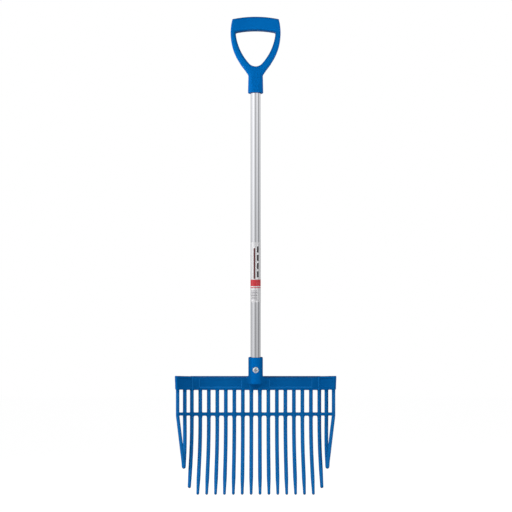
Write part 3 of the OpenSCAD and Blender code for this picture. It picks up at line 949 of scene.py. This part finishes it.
def aluminium():
    """Drawn tube: satin metal with fine lines along the shaft."""
    material, tree, shader = new_material("aluminium")
    lines = noise(tree, 900, (1, 1, 0.004), 4)
    colour = mix_colour(tree, remap(tree, lines, 0.0, 1.0), *ALUMINIUM)
    tree.links.new(colour, shader.inputs["Base Color"])
    shader.inputs["Metallic"].default_value = 1.0
    tree.links.new(remap(tree, lines, 0.10, 0.18), shader.inputs["Roughness"])
    bump(tree, shader, lines, 0.05)
    return material


def zinc_steel():
    """Bright zinc plating with a faint mottle, and a darker grey in the recess of the head screw."""
    material, tree, shader = new_material("zinc_steel")
    mottle = noise(tree, 500, detail=4)
    colour = mix_colour(tree, remap(tree, mottle, 0.0, 1.0), *ZINC)
    x, y, z = own_place(tree)
    # Darker grey in the recess of the head screw
    from_axis = distance(tree, x, maths(tree, "SUBTRACT", z, SCREW_Z))
    recess = remap(tree, from_axis, 1.0, 0.0, 0.5 * SCREW_D, 0.66 * SCREW_D)
    recess = maths(tree, "MULTIPLY", recess, maths(tree, "LESS_THAN", y, 0.0))
    colour = mix_colour(tree, recess, colour, RECESS_GREY)
    tree.links.new(colour, shader.inputs["Base Color"])
    shader.inputs["Metallic"].default_value = 0.65
    tree.links.new(remap(tree, mottle, 0.24, 0.34), shader.inputs["Roughness"])
    bump(tree, shader, noise(tree, 2500, detail=2), 0.1)
    return material


def label_film():
    """Silvery film with a plain red band, two dark rules, one of them broken, and a block of thin lines."""
    material, tree, shader = new_material("label_film")
    x, y, z = own_place(tree)
    turn = maths(tree, "ARCTAN2", x, maths(tree, "MULTIPLY", y, -1.0))
    across = maths(tree, "MULTIPLY", turn, TUBE_R)
    up = maths(tree, "SUBTRACT", z, LABEL_TOP - LABEL_LEN)

    def patch(middle_s, middle_t, half_s, half_t):
        in_s = maths(tree, "LESS_THAN", apart(tree, across, middle_s), half_s)
        in_t = maths(tree, "LESS_THAN", apart(tree, up, middle_t), half_t)
        return maths(tree, "MULTIPLY", in_s, in_t)

    def stripes(area, pitch, share):
        wave = maths(tree, "FRACT", maths(tree, "DIVIDE", up, pitch))
        return maths(tree, "MULTIPLY", area, maths(tree, "LESS_THAN", wave, share))

    grain = noise(tree, 300, detail=2)
    colour = mix_colour(tree, remap(tree, grain, 0.0, 1.0), *FILM)
    bare = 0.75
    # Print, by its middle across and up and its half sizes; bare film is metallic, ink isn't
    for area, ink in (
        (patch(0, 48, 60, 8), RED),
        (patch(0, 36.5, 60, 1.0), RED),
        (stripes(patch(5.5, 103, 2.2, 41), 20.5, 0.74), DARK),
        (patch(-3, 96, 2.1, 38), MAROON),
        (stripes(patch(-4, 18, 8, 11), 4.0, 0.4), GREY),
    ):
        colour = mix_colour(tree, area, colour, ink)
        bare = maths(tree, "MULTIPLY", maths(tree, "SUBTRACT", 1.0, area), bare)
    tree.links.new(colour, shader.inputs["Base Color"])
    tree.links.new(bare, shader.inputs["Metallic"])
    shader.inputs["Roughness"].default_value = 0.3
    shader.inputs["Specular IOR Level"].default_value = 0.4
    bump(tree, shader, grain, 0.03)
    return material


# Pieces

smooth_plastic = blue_plastic("blue_plastic", False)
# The head's material carries painted shade, painted highlights and painted light
grained_shaded_plastic = blue_plastic("shaded_grained_blue_plastic", True)
zinc = zinc_steel()
metal = aluminium()
film = label_film()

tine_nodes = [f"tine_{k:02d}" for k in range(1, 2 * ROW + 1)]

grip = moulded("grip_moulding", grip_field, *GRIP_BOX, MOULD_VOXEL, GRIP_KEEP, mirrored=True)
dress(grip, smooth_plastic, "blue_plastic", "grip")

head = moulded("fork_head", head_field, *HEAD_BOX, MOULD_VOXEL, HEAD_KEEP, mirrored=True)
head_nodes = ["head_body", "cross_rib", "side_tine_left", "side_tine_right", *tine_nodes]
dress(head, grained_shaded_plastic, "blue_plastic", *head_nodes)

for name, field, node, low, high in (
    ("head_screw_zinc", head_screw_field, "head_screw", (-9, -22, SCREW_Z - 9), (9, 28, SCREW_Z + 9)),
    ("head_washer_zinc", washer_field, "head_washer", (-8, 13, SCREW_Z - 8), (8, 20, SCREW_Z + 8)),
    ("head_nut_zinc", nut_field, "head_nut", (-7, 14, SCREW_Z - 7), (7, 27, SCREW_Z + 7)),
    ("grip_screw_zinc", grip_screw_field, "grip_screw", (-5, 8, GRIP_SCREW_Z - 5), (5, 22, GRIP_SCREW_Z + 5)),
):
    dress(moulded(name, field, low, high, SMALL_VOXEL, SMALL_KEEP), zinc, "zinc_steel", node)

dress(tube_piece(), metal, "aluminium", "shaft_tube")
dress(label_piece(), film, "label_film", "shaft_label")


# Camera and light, in metres

FOCAL_PX = 1000.0
PICTURE_PX = 512.0
SENSOR = 36.0
DISTANCE = 2.480
EYE_Z = -0.5585
EYE_X = 0.0010
LAMP_AIM = (0, 0, -0.45)
FILL = 0.21
FILL_ABOVE = 0.06
BASE_PANEL = 0.28
# Studio panels round the shaft: bearing from the front towards +X, half width in degrees, brightness
PANELS = (
    (-100, 50, 0.40),
    (-48, 48, 0.62),
    (0, 40, 0.08),
    (36, 34, 0.44),
    (112, 30, 0.38),
    (180, 50, 0.45),
)
FLOOR_DROP = 0.35
FLOOR_HALF = 4.0
FLOOR_GREY = (0.12, 0.12, 0.12)
FLOOR_SEEN_GREY = (0.1, 0.1, 0.1)
FLOOR_GLOW = 0.985
FLOOR_MIRRORED = 0.4


def set_camera():
    """Level camera in front of the part."""
    data = bpy.data.cameras.new("camera")
    data.sensor_width = SENSOR
    data.lens = FOCAL_PX / PICTURE_PX * SENSOR
    camera = placed("camera", data)
    camera.location = (EYE_X, -DISTANCE, EYE_Z)
    camera.rotation_euler = (math.radians(90), 0, 0)
    bpy.context.scene.camera = camera


def area_light(name, place, size, power):
    """Softbox for rough surfaces; what metal mirrors comes from the studio panels in the world."""
    data = bpy.data.lights.new(name, "AREA")
    data.shape = "RECTANGLE"
    data.size, data.size_y = size
    data.energy = power
    light = placed(name, data)
    light.location = place
    light.rotation_euler = (Vector(LAMP_AIM) - Vector(place)).to_track_quat("-Z", "Y").to_euler()
    light.visible_camera = False
    light.visible_glossy = False


def panel_glow(tree, bearing, centre, half, brightness):
    """What one studio panel adds in a direction."""
    turn = maths(tree, "SUBTRACT", bearing, math.radians(centre))
    turn = maths(tree, "ARCTAN2", maths(tree, "SINE", turn), maths(tree, "COSINE", turn))
    off = maths(tree, "ABSOLUTE", turn)
    return remap(tree, off, 0.0, brightness, math.radians(half), 0.0, "SMOOTHSTEP")


def set_world():
    """Studio: white to the camera, soft fill for rough surfaces, and panels for what is mirrored."""
    world = bpy.data.worlds.new("studio")
    bpy.context.scene.world = world
    world.use_nodes = True
    tree = world.node_tree
    view = add_node(tree, "TexCoord")
    axes = add_node(tree, "SeparateXYZ")
    tree.links.new(view.outputs["Generated"], axes.inputs["Vector"])
    x, y, z = axes.outputs
    bearing = maths(tree, "ARCTAN2", x, maths(tree, "MULTIPLY", y, -1.0))
    mirrored = BASE_PANEL
    for centre, half, brightness in PANELS:
        mirrored = maths(tree, "ADD", panel_glow(tree, bearing, centre, half, brightness), mirrored)
    # The panels are brighter above than below, and the ceiling is darker
    height = remap(tree, z, 0.92, 1.5, -0.05, 0.19)
    ceiling = remap(tree, z, 1.0, 0.45, 0.2, 0.5)
    mirrored = maths(tree, "MULTIPLY", mirrored, maths(tree, "MULTIPLY", height, ceiling))
    path = add_node(tree, "LightPath")
    glossy = maths(tree, "MAXIMUM", path.outputs["Is Glossy Ray"], path.outputs["Is Transmission Ray"])
    fill = remap(tree, z, FILL, FILL_ABOVE, 0.1, 0.6)
    plain = maths(tree, "MAXIMUM", fill, path.outputs["Is Camera Ray"])
    plain = maths(tree, "MULTIPLY", plain, maths(tree, "SUBTRACT", 1.0, glossy))
    strength = maths(tree, "ADD", plain, maths(tree, "MULTIPLY", mirrored, glossy))
    background = tree.nodes["Background"]
    background.inputs["Color"].default_value = (1, 1, 1, 1)
    tree.links.new(strength, background.inputs["Strength"])


def floor_paint():
    """Matt grey that glows white to the camera, so that only the fork's shadow shows."""
    material = bpy.data.materials.new("floor")
    material.use_nodes = True
    tree = material.node_tree
    tree.nodes.clear()
    path = add_node(tree, "LightPath")
    seen = path.outputs["Is Camera Ray"]
    matt = add_node(tree, "BsdfDiffuse")
    tree.links.new(mix_colour(tree, seen, FLOOR_GREY, FLOOR_SEEN_GREY), matt.inputs["Color"])
    glow = add_node(tree, "Emission")
    mirrored = maths(tree, "MULTIPLY", path.outputs["Is Glossy Ray"], FLOOR_MIRRORED)
    strength = maths(tree, "ADD", maths(tree, "MULTIPLY", seen, FLOOR_GLOW), mirrored)
    tree.links.new(strength, glow.inputs["Strength"])
    both = add_node(tree, "AddShader")
    tree.links.new(matt.outputs[0], both.inputs[0])
    tree.links.new(glow.outputs[0], both.inputs[1])
    result = add_node(tree, "OutputMaterial")
    tree.links.new(both.outputs[0], result.inputs["Surface"])
    return material


def add_floor():
    """Floor a little below the hanging fork."""
    level = cad_box[0][2] - FLOOR_DROP
    corners = ((-1, -1), (1, -1), (1, 1), (-1, 1))
    mesh = bpy.data.meshes.new("floor")
    mesh.from_pydata([(a * FLOOR_HALF, b * FLOOR_HALF, level) for a, b in corners], [], [(0, 1, 2, 3)])
    mesh.materials.append(floor_paint())
    floor = placed("floor", mesh)


set_camera()
area_light("side_left", (-1.1, -0.35, -0.4), (0.9, 1.4), 19)
area_light("side_right", (1.2, -0.8, -0.4), (0.5, 1.1), 10)
area_light("front_right", (0.5, -2.2, -0.4), (1.0, 1.2), 22)
area_light("back", (-0.5, 2.2, -0.45), (1.0, 1.2), 20)
set_world()
add_floor()

bpy.context.scene.view_settings.view_transform = "Standard"
